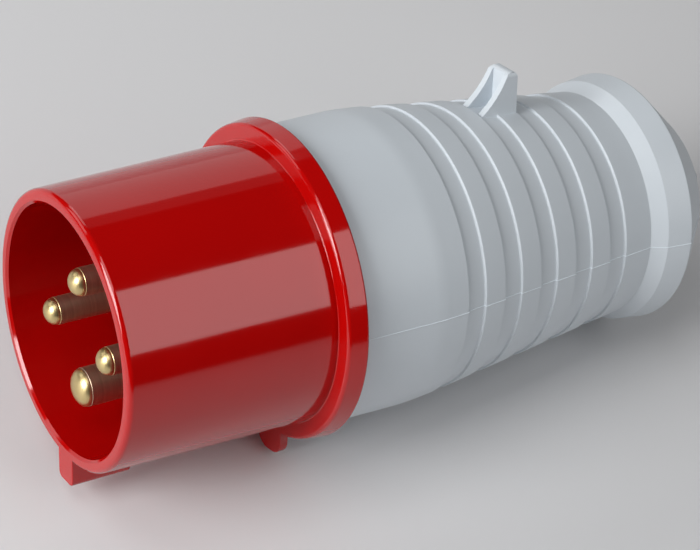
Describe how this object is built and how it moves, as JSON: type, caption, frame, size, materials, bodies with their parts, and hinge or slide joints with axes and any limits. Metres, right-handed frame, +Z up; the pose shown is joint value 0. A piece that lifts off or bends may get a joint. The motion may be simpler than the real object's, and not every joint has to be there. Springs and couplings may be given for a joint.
{
  "type": "industrial pin and sleeve plug",
  "caption": "Industrial pin and sleeve plug: red keyed sleeve round domed brass pins, flange, and a grey ribbed grip with a lid catch, flared rear rim and cable gland.",
  "frame": {"origin": "centre of the sleeve's rim, on the plug axis", "axes": "+X along the plug axis from the pins to the lead's entry, +Z up, with the plug lying on its side as it comes to rest and so rolled about X until a corner of its tab meets the table"},
  "size_m": [0.1313, 0.0588, 0.0599],
  "materials": {
    "red_plastic": "gloss red polyamide",
    "grip_plastic": "satin light grey polyamide",
    "nut_plastic": "satin grey polyamide",
    "carrier_plastic": "moulded black thermoset",
    "claw_plastic": "moulded natural plastic",
    "pin_brass": "turned brass, bright dome, dull barrel",
    "screw_steel": "zinc plated",
    "guard_steel": "spring steel",
    "washer_steel": "zinc plated",
    "gasket_rubber": "black rubber",
    "seal_rubber": "black rubber"
  },
  "bodies": {
    "plug": {"cable_seal": "seal_rubber", "carrier_screw_1": "screw_steel", "carrier_screw_2": "screw_steel", "claw_ring": "claw_plastic", "contact_housing": "red_plastic", "earth_pin": "pin_brass", "earth_terminal_screw": "screw_steel", "earth_wire_guard": "guard_steel", "flange_gasket": "gasket_rubber", "grip": "grip_plastic", "phase_1_pin": "pin_brass", "phase_1_terminal_screw": "screw_steel", "phase_1_wire_guard": "guard_steel", "phase_2_pin": "pin_brass", "phase_2_terminal_screw": "screw_steel", "phase_2_wire_guard": "guard_steel", "phase_3_pin": "pin_brass", "phase_3_terminal_screw": "screw_steel", "phase_3_wire_guard": "guard_steel", "pin_carrier": "carrier_plastic"},
    "washer": {"thrust_washer": "washer_steel"},
    "nut": {"gland_nut": "nut_plastic"}
  },
  "joints": [
    {"name": "washer_slide", "type": "slide", "parent": "plug", "child": "washer", "axis": [1, 0, 0], "range_m": [0, 0.003]},
    {"name": "nut_turn", "type": "hinge", "parent": "washer", "child": "nut", "pos_m": [0.12633, 0, 0], "axis": [1, 0, 0], "range_deg": [0, 720]}
  ],
  "couplings": [
    {"joint": "washer_slide", "follows": "nut_turn", "m_per_rad": 0.00023873}
  ]
}
